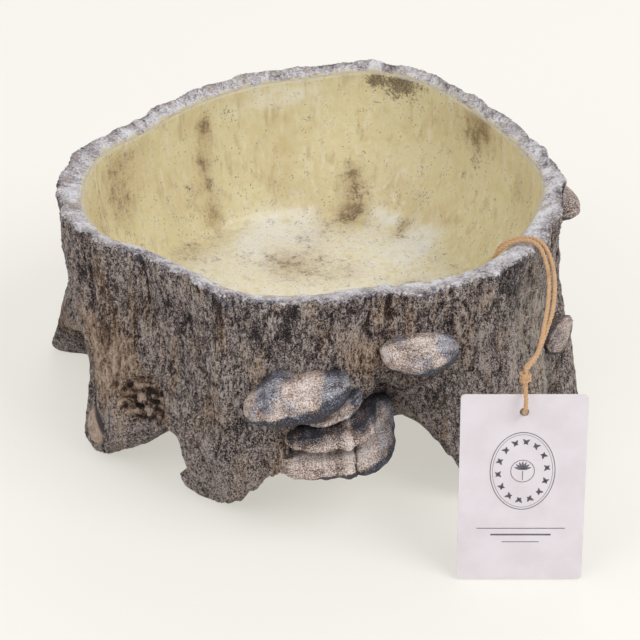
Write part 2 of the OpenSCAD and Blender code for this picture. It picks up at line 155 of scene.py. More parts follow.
def mesh_piece(name, points, faces, coat, slot, body, *nodes, marks=None):
    """A smooth-shaded mesh, points in millimetres, that rides on a body and stands for nodes."""
    mesh = bpy.data.meshes.new(name)
    mesh.from_pydata((np.reshape(points, (-1, 3)) / 1000).tolist(), [], faces.tolist())
    mesh.validate()
    mesh.shade_smooth()
    for mark, value in (marks or {}).items():
        values = mesh.attributes.new(mark, "FLOAT", "POINT").data
        values.foreach_set("value", np.ravel(value).astype("f"))
    mesh.materials.append(coat)
    piece = bpy.data.objects.new(name, mesh)
    bpy.context.collection.objects.link(piece)
    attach(piece, body)
    if nodes:
        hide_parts(*nodes)
    return piece


class Shade:
    """A shader socket. Sums and products on it add Math nodes; other nodes come from node()."""

    def __init__(self, tree, out=None):
        self.tree, self.out = tree, out

    def fill(self, made, inputs):
        """Give a node's sockets their links or values."""
        for name, value in inputs.items():
            socket = made.inputs[name]
            if isinstance(value, Shade):
                self.tree.links.new(value.out, socket)
            else:
                socket.default_value = (*value, 1) if socket.type == "RGBA" else value

    def node(self, kind, inputs=None, out=0, stops=(), **settings):
        made = self.tree.nodes.new(kind)
        for name, value in settings.items():
            setattr(made, name, value)
        if stops:
            ramp = made.color_ramp.elements
            while len(ramp) < len(stops):
                ramp.new(1)
            for stop, (place, colour) in zip(ramp, stops):
                stop.position, stop.color = place, (*colour, 1)
        self.fill(made, inputs or {})
        return Shade(self.tree, made.outputs[out])

    def maths(self, operation, *values):
        return self.node("ShaderNodeMath", dict(enumerate(values)), operation=operation)

    def __add__(self, other):
        return self.maths("ADD", self, other)

    def __sub__(self, other):
        return self.maths("SUBTRACT", self, other)

    def __rsub__(self, other):
        return self.maths("SUBTRACT", other, self)

    def __mul__(self, other):
        return self.maths("MULTIPLY", self, other)

    __radd__, __rmul__ = __add__, __mul__

    def band(self, low, high):
        """0 below low, 1 above high, smooth between."""
        ends = {"Value": self, "From Min": low, "From Max": high}
        return self.node("ShaderNodeMapRange", ends, interpolation_type="SMOOTHSTEP")

    def lines(self, width):
        """1 along the lines where a noise is at its middle, 0 from a width beside them."""
        return 1 - self.maths("ABSOLUTE", self - 0.5).band(0.0, width)

    def grain(self, size, tall=1, detail=4, rough=0.55, shift=0.0, bent=0.0):
        """Noise over the object's own coordinates, its grains this many millimetres across."""
        spot = {"Vector": self.place(size, tall, shift), "Scale": 1}
        spot |= {"Detail": detail, "Roughness": rough, "Distortion": bent}
        return self.node("ShaderNodeTexNoise", spot)

    def cells(self, size, shift):
        """Distance from the nearest of scattered points, this many millimetres apart."""
        spot = {"Vector": self.place(size, 1, shift), "Scale": 1}
        return self.node("ShaderNodeTexVoronoi", spot, out="Distance")

    def place(self, size, tall, shift):
        where = {"Vector": self.node("ShaderNodeTexCoord", out="Object"), "Location": (shift,) * 3}
        scale = 1000 / size
        return self.node("ShaderNodeMapping", where | {"Scale": (scale, scale, scale / tall)})

    def mark(self, name):
        """A number that the mesh carries at each point."""
        return self.node("ShaderNodeAttribute", attribute_name=name, out="Fac")

    def ramp(self, *stops):
        """A colour for each value, given as (value, colour) pairs."""
        return self.node("ShaderNodeValToRGB", {"Fac": self}, stops=stops)

    def mix(self, first, second, share):
        """A colour between two others, by the share of the second."""
        return self.node("ShaderNodeMix", {0: share, 6: first, 7: second}, out=2, data_type="RGBA")

    def tint(self, other, share):
        return self.mix(self, other, share)


def finish(name, paint, fixed=None):
    """A material whose paint() gives colour, roughness, and a height and depth for its bump."""
    material = bpy.data.materials.new(name)
    material.use_nodes = True
    start = Shade(material.node_tree)
    colour, rough, height, depth = paint(start)
    painted = {"Base Color": colour, "Roughness": rough}
    if depth:
        bump = {"Height": height, "Strength": 1.0, "Distance": depth / 1000}
        painted["Normal"] = start.node("ShaderNodeBump", bump)
    start.fill(material.node_tree.nodes["Principled BSDF"], painted | (fixed or {}))
    return material


def jute_paint(s):
    fibre = s.grain(0.25, 3, detail=3)
    colour = s.mix((0.43, 0.23, 0.1), (0.73, 0.475, 0.26), fibre.band(0.3, 0.7))
    colour = colour.tint((0.3, 0.16, 0.07), s.grain(5).band(0.55, 0.8) * 0.5)
    return colour, 0.75 + 0.15 * fibre, fibre, 0.12


down = smooth_line(twine_line + [list(hitch_mid + hitch_reach * card_up)], 6)
along = unit(np.gradient(down, axis=0))
# the strands lie side by side on the rim, and turn to lie one behind the other at the hitch
turn_in = ease((np.arange(len(down)) - len(down) + turn_over) / turn_over)[:, None]
sideways = unit(unit(np.cross(along, [0, 0, 1])) * (1 - turn_in) + card_out * turn_in)
opened = np.radians(np.linspace(32, 328, 28))[:, None]
loop = loop_mid + loop_r * (np.sin(opened) * card_out + np.cos(opened) * card_up)
lead = hitch_mid - hitch_reach * card_up
apart, behind = strand_gap / 2 * sideways, strand_gap / 2 * card_out
twine_route = np.vstack([down + apart, lead + behind, loop, lead - behind, (down - apart)[::-1]])

jute = finish("jute", jute_paint, {"Sheen Weight": 0.25, "Sheen Roughness": 0.5})
yarns = laid_yarns(evenly(twine_route, 0.42), twine_d / 2, 5.5)
strands = mesh_piece("twine_strands", *yarns, jute, "jute", "twine", "twine")


# The hitch above the card and the knot of the ends: both strands wound round themselves,
# pulled tight, with the yarns' lay showing.
def wound_knot(name, middle, axis, r, height, turns, node):
    axis = unit(np.asarray(axis, float))
    side = unit(np.cross(axis, [1.0, 0.2, 0.1]))
    t = np.linspace(0, 1, 90)[:, None]
    g = 2 * np.pi * turns * t
    turning = np.cos(g) * side + np.sin(g) * np.cross(axis, side)
    wrap = middle + r * turning + axis * height * (t - 0.5)
    back = np.linspace(0.5, -0.5, 24)[:, None] * (axis * height * 0.9)
    bowed = 0.55 * np.sin(np.linspace(0, np.pi, 24))[:, None] * turning[-1]
    across = middle + r * 0.9 * turning[-1] + back + bowed
    wound = [laid_yarns(evenly(line, 0.3), 0.95, 4.5, phase) for line, phase in ((wrap, 0), (across, 1))]
    return mesh_piece(name, *joined(wound), jute, "jute", "twine", node)


hitch = wound_knot("hitch", hitch_mid, card_up, 1.75, 4.0, 2.4, "twine_hitch")
end_knot = wound_knot("end_knot", down[0] - 3.4 * along[0], along[0], 1.9, 3.4, 2.1, "twine_end_knot")


# Card tag
# Uncoated pinkish white card, die-cut with rounded corners and a punched hole. The print is a
# plain sprig in a ring with ruled lines under it, in dark grey ink.
def card_paint(s):
    fibre = s.grain(0.5, detail=5)
    colour = s.mix((0.72, 0.655, 0.675), (0.77, 0.71, 0.73), s.grain(14).band(0.3, 0.7))
    colour = colour.tint((0.58, 0.52, 0.54), fibre.band(0.62, 0.8) * 0.25)
    return colour, 0.62 + 0.15 * fibre, fibre, 0.05


def ink_paint(s):
    wear_and_glint = s.grain(0.35, detail=3)
    colour = s.mix((0.12, 0.115, 0.13), (0.34, 0.31, 0.33), wear_and_glint.band(0.5, 0.75) * 0.7)
    return colour, 0.6 + 0.1 * wear_and_glint, None, 0


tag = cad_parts["hang_tag"]
tag.data.materials.clear()
tag.data.materials.append(finish("card", card_paint))
ring_up, print_out = 51, 0.49


def on_card(flat):
    """Points given as (across, up) from the middle of the card's foot, on its printed face."""
    flat = np.asarray(flat, float)
    return card_foot + flat[:, :1] * np.array([1.0, 0, 0]) + flat[:, 1:] * card_up + print_out * card_out


def quad_strip(n, around=False):
    """Quads between two rows of n points."""
    i = np.arange(n if around else n - 1)
    j = (i + 1) % n
    return np.stack([i, j, n + j, n + i], 1)


def ring(rx, ry, width, n=96):
    g = np.linspace(0, 2 * np.pi, n, endpoint=False)[:, None]
    e, middle = np.hstack([np.cos(g), np.sin(g)]), [0, ring_up]
    return np.vstack([middle + e * [rx, ry], middle + e * [rx - width, ry - width]]), quad_strip(n, True)


def ruled(up, length, width):
    half = length / 2
    return [[-half, up], [half, up], [half, up + width], [-half, up + width]], np.array([[0, 1, 2, 3]])


def leaf(x, y, angle, length, width, n=9):
    t = np.linspace(0, 1, n)
    half = width / 2 * np.sin(np.pi * t) ** 0.8
    out = np.vstack([np.stack([t * length, half], 1), np.stack([t * length, -half], 1)])
    c, s = math.cos(angle), math.sin(angle)
    return out @ np.array([[c, s], [-s, c]]) + [x, y], quad_strip(n)


prints = [ring(14, 18, 0.35), ring(12.9, 16.9, 0.18), ring(5.2, 5.2, 0.3)]
for k in range(28):
    g = 2 * math.pi * k / 28
    prints.append(leaf(9.2 * math.cos(g), ring_up + 12.4 * math.sin(g), g + 0.9 * (-1) ** k, 3.6, 1.25))
for k in range(7):
    prints.append(leaf(0, ring_up + 0.6, math.pi / 2 + (k - 3) * 0.42, 3.9, 1.0))
prints += [ruled(46.9, 0.35, 4.2), ruled(24, 38, 0.35), ruled(20.8, 26, 0.8), ruled(17.6, 16, 0.35)]
printed = joined([(on_card(flat), quads) for flat, quads in prints])
mesh_piece("tag_print", *printed, finish("ink", ink_paint), "card", "tag")

# Stump wall: bark and cut rim
# Fired clay, modelled as a hollow stump: furrowed bark stained with dark oxide and wiped back,
# and a pale bare rim, cut a little uneven.
bowl = np.array([0.0, 8.0])
rim_r, rim_h, rim_w, rim_fall, rim_round = 112, 118, 10.5, 2.5, 2.5
floor_r, floor_t, base_h, floor_lobes = 82, 10, 36, 0.25
flute_d, flutes, lump_d, lump_fade, waist_in = 1.4, 23, 1.6, 25, 3
underside_r, low_round, cuts_round = 84, 2.5, 1080
plan_out = [4, -1, -3, -2, 3, 5, -3, -4, -6, -8, -8, 0, 4, 6, 4, -5, -3, 5, 3, -1, 4, 8, 8, 6]
rise_out = [0, 0.5, 1.5, 0, -2, -3, -0.5, 1, 2, 1, -0.5, -0.5]
width_out = [-1, -2, -4, -2.5, -1, -1, 2, 0, -1, 1.5, 2, 3]
# arches between the roots: azimuth, half width, how far they draw in, their rise and height
arches = [[290, 22, 17, 22, 26], [197, 27, 16, 4, 55]]


def round_the_bowl(values, a):
    """Smooth value at azimuth a, in degrees, of a list spread evenly round the bowl."""
    v = np.asarray(values, float)
    t = (a % 360) / 360 * len(v)
    i = np.floor(t).astype(int)
    return through([v[(i + k) % len(v)] for k in (-1, 0, 1, 2)], t - i)


def sin_deg(a):
    return np.sin(np.radians(a))


def hump(x, middle, width):
    """1 at the middle, fading smoothly to both sides."""
    return np.exp(-(((x - middle) / width) ** 2))


def under_z(a):
    return base_h + sum(ease(1 - np.abs(a % 360 - h[0]) / h[1]) * h[3] for h in arches)


def rim_z(a):
    return rim_h + round_the_bowl(rise_out, a)


def floor_edge(a):
    return floor_r + floor_lobes * round_the_bowl(plan_out, a)


def inner_r(a):
    return rim_r + round_the_bowl(plan_out, a) - rim_w - round_the_bowl(width_out, a)


def wall_r(a, z):
    """Outer radius of the bark at azimuth a and height z, with its flutes and broad lumps."""
    low = under_z(a)
    z = np.maximum(z, low)
    up = limited((z - base_h) / (rim_h - base_h))
    r = rim_r + round_the_bowl(plan_out, a) - waist_in * np.sin(np.pi * up)
    for mid, half, draw, _, tall in arches:
        r = r - draw * ease(1 - np.abs(a % 360 - mid) / half) * limited((low + tall - z) / tall) ** 2
    r = r + flute_d * 0.6 * sin_deg(flutes * a + 40 * sin_deg(3 * a) + 1.3 * z)
    r = r + flute_d * 0.4 * sin_deg((2 * flutes - 5) * a + 60 * sin_deg(7 * a) - 0.9 * z)
    broad = sin_deg(17 * a + 60 * sin_deg(2 * a) + 2.1 * z)
    small = sin_deg(31 * a + 80 * sin_deg(3 * a) - 3 * z)
    lump = 0.6 * broad * sin_deg(90 + 4.5 * z + 50 * sin_deg(5 * a))
    lump = lump + 0.4 * small * sin_deg(90 + 7 * z + 90 * sin_deg(4 * a))
    return r + lump_d * lump * limited((rim_z(a) - z) / lump_fade)


def at(a, r, z):
    """Point at azimuth a, in degrees, radius r from the bowl's axis and height z."""
    a, r, z = np.broadcast_arrays(a, r, z)
    g = np.radians(a)
    return np.stack([bowl[0] + r * np.cos(g), bowl[1] + r * np.sin(g), z], -1)


def azimuth(p):
    return np.degrees(np.arctan2(p[..., 1] - bowl[1], p[..., 0] - bowl[0])) % 360


def radius(p):
    return np.linalg.norm(p[..., :2] - bowl, axis=-1)


def outward(p):
    """Level direction from the bowl's axis through each point."""
    flat = p[..., :2] - bowl
    return np.concatenate([flat / np.maximum(radius(p), 1e-9)[..., None], 0 * flat[..., :1]], -1)


def speckle(p, size, stretch=1.0, seed=0):
    """Smooth noise from -1 to 1 at points p, its lumps this many millimetres wide."""
    table = np.random.default_rng(seed).random(8192) * 2 - 1
    q = p / np.array([size, size, size * stretch]) + 1000.5
    i = np.floor(q).astype(np.int64)
    f = q - i
    f = f * f * f * (f * (f * 6 - 15) + 10)
    total = 0
    for dx in (0, 1):
        for dy in (0, 1):
            for dz in (0, 1):
                h = (i[..., 0] + dx) * 73856093 ^ (i[..., 1] + dy) * 19349663 ^ (i[..., 2] + dz) * 83492791
                w = (f[..., 0] if dx else 1 - f[..., 0]) * (f[..., 1] if dy else 1 - f[..., 1])
                total = total + table[h & 8191] * w * (f[..., 2] if dz else 1 - f[..., 2])
    return total


def line_of(noise, width):
    """1 along the lines where a noise passes through 0, falling to 0 at a width beside them."""
    return limited(1 - np.abs(noise) / width)


def spots(p, places):
    """Soft spots, each (azimuth, radius, height, half width, half height, strength)."""
    total, reach_in = 0, 18
    for az, r, z, wide, high, strength in places:
        away = p - at(az, r, z)
        g = math.radians(az)
        across = -away[..., 0] * math.sin(g) + away[..., 1] * math.cos(g)
        deep = away[..., 0] * math.cos(g) + away[..., 1] * math.sin(g)
        fade = -((across / wide) ** 2) - (deep / reach_in) ** 2 - (away[..., 2] / high) ** 2
        total = total + strength * np.exp(fade)
    return total


# places where the bark is stained warm brown, rubbed pale, left dark, or has long fibres
warm_spots = [
    (210, 114, 62, 9, 15, 1.0), (217, 112, 57, 9, 17, 1.2), (213, 115, 42, 9, 10, 0.8),
    (226, 106, 99, 3, 14, 0.5), (250, 114, 102, 3, 14, 0.45), (283, 110, 84, 12, 8, 0.45),
    (222, 112, 84, 3, 22, 0.4), (176, 120, 24, 9, 9, 0.8), (218, 110, 88, 16, 22, 0.3),
    (245, 113, 46, 6, 12, 0.3), (40, 115, 60, 14, 22, 0.5), (120, 110, 70, 14, 24, 0.5),
    (330, 120, 60, 9, 24, 0.45), (70, 112, 84, 10, 18, 0.4), (150, 110, 70, 10, 20, 0.4),
]
pale_spots = [
    (209, 115, 58, 6, 15, 1.0), (216, 112, 56, 6, 16, 1.1), (226, 109, 36, 8, 5, 0.4),
    (277, 110, 100, 16, 8, 0.3), (232, 105, 96, 4, 15, 0.55), (231, 104, 74, 4, 12, 0.35),
    (269, 113, 86, 8, 9, 0.45), (252, 117, 20, 9, 7, 0.5), (246, 112, 9, 10, 8, 0.5),
    (310, 115, 84, 4, 26, 0.9), (318, 119, 70, 7, 30, 0.8), (331, 121, 62, 9, 34, 0.75),
    (343, 119, 78, 7, 24, 0.6), (20, 118, 80, 8, 20, 0.5), (95, 114, 50, 12, 18, 0.45),
    (135, 110, 92, 12, 12, 0.4), (60, 114, 90, 9, 14, 0.4), (350, 118, 30, 10, 16, 0.35),
    (222, 110, 31, 10, 6, 0.35),
]
dark_spots = [
    (215.5, 111, 84, 4.5, 15, 1.3), (175, 124, 24, 10, 9, 0.9), (243, 108, 62, 9, 9, 0.35),
    (257, 115, 60, 6, 12, 0.3), (212, 112, 100, 5, 14, 0.35), (228, 108, 84, 3, 9, 0.4),
    (287, 108, 92, 4, 5, 0.55), (252, 117, 8, 7, 5, 0.35), (300, 110, 62, 7, 12, 0.4),
    (280, 112, 78, 16, 3.5, 0.45), (238, 106, 34, 6, 12, 0.25), (45, 114, 30, 14, 10, 0.5),
    (130, 110, 40, 14, 10, 0.5), (90, 112, 100, 9, 9, 0.35), (201, 112, 30, 8, 16, 0.3),
    (214.8, 117, 17, 2.2, 9, 0.9),
]
fibre_spots = [(326, 120, 84, 16, 30, 0.8), (334, 121, 50, 16, 34, 1.0), (305, 113, 52, 9, 14, 0.4)]
combed_spots = [(322, 118, 50, 22, 34, 1.0)]
whole_spots = [(216, 112, 60, 14, 20, 1.3)]


def bark_relief(p):
    """How far the bark stands out at points p, and how light it is wiped, from 0 to 1."""
    z = p[..., 2]
    q = p + np.stack([1.9 * speckle(p, 12, 1.5, k) for k in (1, 2, 3)], -1)
    leg = ease((62 - z) / 40)
    comb = ease((z - 84) / 26)
    lumps = speckle(q, 10, 1.7, 4)
    broken = limited(speckle(q, 13, 1.6, 6) * 2.2 + 0.55 + 0.7 * comb - 0.3 * leg)
    furrow = line_of(speckle(q, 5.2, 6, 5), 0.2) * broken
    wire = line_of(speckle(q, 3.0, 2.6, 7), 0.3)
    thread = line_of(speckle(q, 1.9, 1.9, 8), 0.38)
    curl = line_of(speckle(q, 4.2, 0.8, 9), 0.2) * limited(speckle(q, 12, 1, 10) * 3 + 0.3)
    grain = speckle(p, 1.5, 2.4, 11)
    pit = limited(-speckle(q, 3.6, 1.1, 12) * 2.6 - 0.75)
    crack = line_of(speckle(q, 24, 1.5, 13), 0.028) * limited(speckle(q, 26, 1, 14) * 4 - 0.4)
    crack = crack * limited(1 - spots(p, whole_spots))
    calm = 1 - 0.5 * leg
    relief = 0.5 * lumps - 0.3 + calm * (0.6 * wire + 0.5 * thread + 0.4 * curl + 0.25 * grain - 0.4 * pit)
    relief = relief - (0.7 + 0.5 * comb) * furrow - 1.2 * crack
    wiped = calm * (0.2 * wire + 0.19 * thread + 0.22 * curl + 0.13 * grain - 0.18 * pit)
    tone = 0.474 + 0.07 * lumps + wiped - (0.26 + 0.3 * comb) * furrow - 0.7 * crack + 0.1 * leg
    return relief, limited(tone + 0.24 * spots(p, pale_spots) - 0.3 * spots(p, dark_spots))


def bark_marks(p, tone, cut=0.0):
    """What the bark's finish needs to know at points p."""
    below_rim = np.maximum(rim_z(azimuth(p)) - p[..., 2], 0)
    return {
        "tone": tone,
        "cut": cut + 0 * tone,
        "warm": limited(spots(p, warm_spots) + 0.3 * speckle(p, 9, 2.5, 31) + 0.17),
        "blue": limited(np.exp(-below_rim / 8) * 0.9 + 0.5 * speckle(p, 14, 1, 33)),
        "combed": limited(ease((p[..., 2] - 58) / 30) + spots(p, combed_spots)),
        "fibrous": limited(spots(p, fibre_spots)),
    }


def bark_paint(s):
    fine = s.grain(0.75, 1.15, detail=2, rough=0.7, bent=1.0)
    streak = s.grain(1.1, 4, detail=4, rough=0.7, bent=0.7)
    crumpled = s.grain(3.4, 1.25, detail=5, rough=0.7, shift=17, bent=1.8)
    band = s.grain(5, 5, detail=3, shift=8)
    wear_and_glint = s.grain(1.0, 1.5, detail=3, rough=0.75, shift=3)
    ridge = s.grain(2.6, 1.7, detail=3, rough=0.6, shift=21)
    hair = s.grain(1.3, 1.5, detail=2, rough=0.6, shift=27)
    cleft = s.grain(2.0, 1.8, detail=3, rough=0.6, shift=41)
    wiry = ridge.lines(0.04) * 0.6 + hair.lines(0.05) * 0.5
    combed, warm = s.mark("combed"), s.mark("warm")
    calm = 1 - warm * 0.6
    tone = s.mark("tone") + (fine - 0.5) * (2.9 - warm * 1.8) + (streak - 0.5) * (0.7 + combed * 1.3)
    tone = tone + (band - 0.5) * (0.3 + combed * 0.5) - (cleft.lines(0.04) - 0.12) * calm * 0.55
    tone = tone + (crumpled - 0.5) * (1.5 - combed * 0.6 - warm * 0.6)
    tone = tone + (wiry - 0.26) * (0.95 - combed * 0.3) * calm
    grey = tone.ramp(
        (0.1, (0.018, 0.013, 0.015)), (0.3, (0.068, 0.048, 0.047)), (0.47, (0.17, 0.128, 0.117)),
        (0.66, (0.345, 0.277, 0.246)), (0.95, (0.62, 0.535, 0.48)),
    )
    brown = tone.ramp(
        (0.1, (0.026, 0.016, 0.013)), (0.32, (0.115, 0.067, 0.044)), (0.48, (0.24, 0.15, 0.098)),
        (0.66, (0.425, 0.295, 0.2)), (0.92, (0.65, 0.52, 0.41)),
    )
    colour = grey.tint(brown, (warm + (streak - 0.5) * 0.6 + (band - 0.5) * 1.6).band(0.12, 0.75))
    shaded = (s.mark("blue") + (streak - 0.5)).band(0.45, 0.9) * (1 - tone.band(0.4, 0.7)) * 0.6
    colour = colour.tint((0.085, 0.09, 0.125), shaded)
    # long pale fibres, grey green, run down the bark at the right
    fibres = s.grain(1.5, 9, detail=4, rough=0.65, shift=51, bent=0.5)
    colour = colour.tint((0.43, 0.405, 0.33), s.mark("fibrous") * fibres.band(0.44, 0.62) * 0.8)
    # painted highlight: fine pale flecks on the lighter bark stand in for glints
    colour = colour.tint((0.7, 0.62, 0.58), wear_and_glint.band(0.6, 0.68) * tone.band(0.42, 0.6) * 0.75)
    # the cut rim: bare pale clay with grey washes, brown patches, dark strokes and a stained edge
    wash = s.grain(5, detail=5)
    tooth = s.grain(1.1, detail=5, rough=0.7, shift=5)
    rim = (s.mark("tone") + (tooth - 0.5) * 2.3 + (wash - 0.5) * 0.9 + 0.1).ramp(
        (0.1, (0.075, 0.072, 0.098)), (0.3, (0.235, 0.212, 0.23)), (0.5, (0.425, 0.375, 0.37)),
        (0.72, (0.58, 0.54, 0.545)), (0.98, (0.8, 0.785, 0.805)),
    )
    rim = rim.tint((0.33, 0.235, 0.155), s.grain(6, shift=11).band(0.55, 0.68) * 0.55)
    lapped = s.mark("lapped") + (wash - 0.5) * 1.2 + (tooth - 0.5) * 0.6
    rim = rim.tint((0.66, 0.575, 0.37), lapped.band(0.35, 0.75))
    edge = (s.mark("cut") + (tooth - 0.5) * 0.9 + (wash - 0.5) * 0.6).band(0.4, 0.58)
    raised = (streak * 0.5 + crumpled * 0.9 + wiry * 0.4) * (1 - 0.9 * edge)
    height = fine * 0.4 + raised + tooth * 0.6 * edge
    return colour.tint(rim, edge), 0.6 + 0.3 * fine, height, 1.3


bark = finish("bark", bark_paint, {"Specular IOR Level": 0.3})


def pushed(p, how_far, closed_round=False):
    """Points of a grid moved along its own normals."""
    du = np.roll(p, -1, 0) - np.roll(p, 1, 0) if closed_round else np.gradient(p, axis=0)
    return p + unit(np.cross(du, np.gradient(p, axis=1)) + 1e-12) * how_far[..., None]


def from_spot(p, az, z, half_w, half_h):
    """Distance from a place on the bark, 1 at its edge."""
    g = math.radians(az)
    x = (-(p[..., 0] - bowl[0]) * math.sin(g) + (p[..., 1] - bowl[1]) * math.cos(g)) / half_w
    return np.hypot(x, (p[..., 2] - z) / half_h)


a = np.arange(cuts_round)[:, None] * 360 / cuts_round
top, low = rim_z(a), under_z(a)
low_r, r_top, in_r = wall_r(a, low), wall_r(a, top), inner_r(a)
foot_in = low_r - low_round
c = np.linspace(0, np.pi / 2, 4)[1:]
t = np.linspace(0, 1, 11)[1:-1]
side_z = low + low_round + (top - rim_round - low - low_round) * np.linspace(0, 1, 66)
foot = np.array([0, 0.4, 0.8])
down_in = np.array([0.97, 0.9, 0.75, 0.5, 0.25, 0.03])
behind_glaze = np.array([0.4, 1.6, 2.4, 2.4, 2.4, 2.4])
narrowed = (in_r - floor_edge(a)) * (1 - (1 - down_in) ** 2.2)
glaze_h = top - rim_fall - rim_round - base_h - floor_t
strips = [
    at(a, underside_r + (foot_in - underside_r) * foot, base_h + (low - base_h) * foot**1.5),
    at(a, foot_in + low_round * np.sin(c[:-1]), low + low_round - low_round * np.cos(c[:-1])),
    at(a, wall_r(a, side_z), side_z),
    at(a, r_top - rim_round * (1 - np.cos(c)), top - rim_round * (1 - np.sin(c))),
    at(a, r_top - rim_round + (in_r + 2 * rim_round - r_top) * t, top - rim_fall * t),
    at(a, in_r + rim_round * (1 - np.sin(c)), top - rim_fall - rim_round * (1 - np.cos(c))),
    at(a, floor_edge(a) + narrowed + behind_glaze, base_h + floor_t + glaze_h * down_in),
]
shape = beside(*strips)
# the bark is filled out between two roots that meet under the right front bracket
filled = spots(shape, [(292, 102, 62, 7, 14, 1)])
shape = shape + outward(shape) * (2.6 * filled)[..., None]
shape[:, :16, 2] -= (4.0 * filled * (shape[..., 2] > base_h + 2))[:, :16] * np.linspace(1, 0, 16)
# and makes room for the knot in the left front root, which has rotted out to a dark hole
knot_az, knot_z, knot_w, knot_h = 225.0, 42.5, 13.0, 12.0
hollow = ease((1.1 - from_spot(shape, knot_az, knot_z, knot_w, knot_h)) / 0.4)
shape = shape - outward(shape) * (8 * hollow * (radius(shape) > 95))[..., None]
count = np.cumsum([0] + [s.shape[1] for s in strips])
row = np.arange(shape.shape[1])
relief, tone = bark_relief(shape)
share = np.interp(row, [0, 3, 5, count[3] - 2, count[3] + 1, count[4]], [0, 0.6, 1, 1, 0.5, 0.15])
share[count[5] + 1 :] = 0
cut = np.interp(row, [count[3] - 3, count[3] + 0.5, count[3] + 2.5], [0, 0.5, 1])
# strokes of the saw run across the rim; its outer edge is chipped
drawn = at(a, rim_r + 0 * row, 0.16 * (row - count[3]) + 0 * a)
strokes = speckle(drawn, 1.4, 1, 21) + 0.6 * speckle(drawn, 3.4, 1, 22)
patches = speckle(shape, 7, 1, 23) + 0.5 * speckle(shape, 3, 1, 24)
on_rim = row >= count[3] + 1
across = limited((row - count[3] - 1) / (count[5] + 1 - count[3]))
rim_tone = 0.62 + 0.13 * strokes + 0.24 * patches - 0.25 * (1 - across) ** 4 + 0.06 * across
tooth = (0.28 * strokes + 0.3 * patches + 0.15 * speckle(shape, 1.3, 1, 14)) * (row < count[6])
rim_points = pushed(shape, np.where(on_rim, tooth, relief * share), True)
chips = limited(speckle(shape, 3.2, 1, 15) - 0.35) * 2.6
near_edge = slice(count[3], count[3] + 5)
rim_points[:, near_edge, 2] -= chips[:, near_edge]
rim_points[..., 2] = np.minimum(rim_points[..., 2], shape[..., 2] + 0.4)
marks = bark_marks(shape, np.where(on_rim, rim_tone, tone), cut)
marks["lapped"] = np.interp(row, [count[5] - 2, count[6] - 1], [0, 1]) + 0 * tone
faces = grid_faces(rim_points, True, True)
mesh_piece("stump_bark", rim_points, faces, bark, "bark", "planter", "stump_wall", marks=marks)


# Glazed inside and floor
# Mottled yellow glaze over the inner wall and the floor, with brown and olive stains, fine dark
# specks, runs down the wall, and near-white patches where wall and floor meet: milky pooled glaze with
# painted glare on it.
def glaze_paint(s):
    mottled = s.grain(7, detail=6, rough=0.65)
    fine = s.grain(1.3, detail=5, rough=0.7)
    runs = s.grain(4, 5, detail=5, rough=0.6, shift=6)
    streaks = s.grain(4.4, 4, detail=5, shift=14)
    milky_glaze_and_glare, stained = s.mark("milky_glaze_and_glare"), s.mark("stain")
    colour = s.mix((0.66, 0.56, 0.315), (0.745, 0.675, 0.435), mottled.band(0.3, 0.66))
    colour = colour.tint((0.6, 0.48, 0.27), s.grain(30, detail=3).band(0.48, 0.68) * 0.55)
    colour = colour.tint((0.8, 0.75, 0.58), (runs + milky_glaze_and_glare * 0.2).band(0.52, 0.7) * 0.6)
    colour = colour.tint((0.47, 0.355, 0.2), streaks.band(0.53, 0.7) * 0.5)
    # near white where glaze pools at the foot of the wall and over the floor: milky glaze, with painted
    # glare on it
    colour = colour.tint((0.83, 0.81, 0.765), milky_glaze_and_glare * (0.35 + 0.65 * mottled.band(0.36, 0.6)))
    patchy = (mottled - 0.5) * 2.2 + (fine - 0.5) * 1.3 + (runs - 0.5) * 1.0
    stain = (stained + patchy).band(0.15, 1.5)
    colour = colour.tint((0.365, 0.262, 0.138), stain * 0.85)
    colour = colour.tint((0.18, 0.12, 0.064), (stained + patchy * 1.6).band(1.0, 1.8) * 0.65)
    moss = (s.mark("moss") + (fine - 0.5) * 3.2 + (mottled - 0.5) * 3.0).band(0.35, 1.15)
    tufts = s.grain(0.9, detail=3, rough=0.7, shift=31)
    mossy = s.mix((0.085, 0.06, 0.042), (0.27, 0.205, 0.115), tufts.band(0.42, 0.62))
    colour = colour.tint(mossy, moss * 0.9)
    some = (s.grain(7, detail=2, shift=9) + stained * 0.12).band(0.5, 0.64)
    colour = colour.tint((0.15, 0.1, 0.055), (1 - s.cells(2.2, 2).band(0.1, 0.22)) * some * 0.75)
    edge = (s.mark("edge") + (mottled - 0.5) + (fine - 0.5) * 0.6).band(0.4, 0.9)
    colour = colour.tint((0.5, 0.45, 0.43), edge * 0.8)
    height = mottled * 0.5 + fine * 0.35 - stain * 0.3
    return colour, 0.4 + 0.25 * mottled + 0.2 * stain, height, 0.45


glassy = {"Coat Weight": 0.2, "Coat Roughness": 0.35, "Specular IOR Level": 0.45}
glaze = finish("glaze", glaze_paint, glassy)
floor_top = base_h + floor_t


def lining_r(a, z):
    """Radius of the glazed wall, which narrows to the floor."""
    high = rim_z(a) - rim_fall - rim_round
    s = limited((z - floor_top) / (high - floor_top))
    return floor_edge(a) + (inner_r(a) - floor_edge(a)) * (1 - (1 - s) ** 2.2)
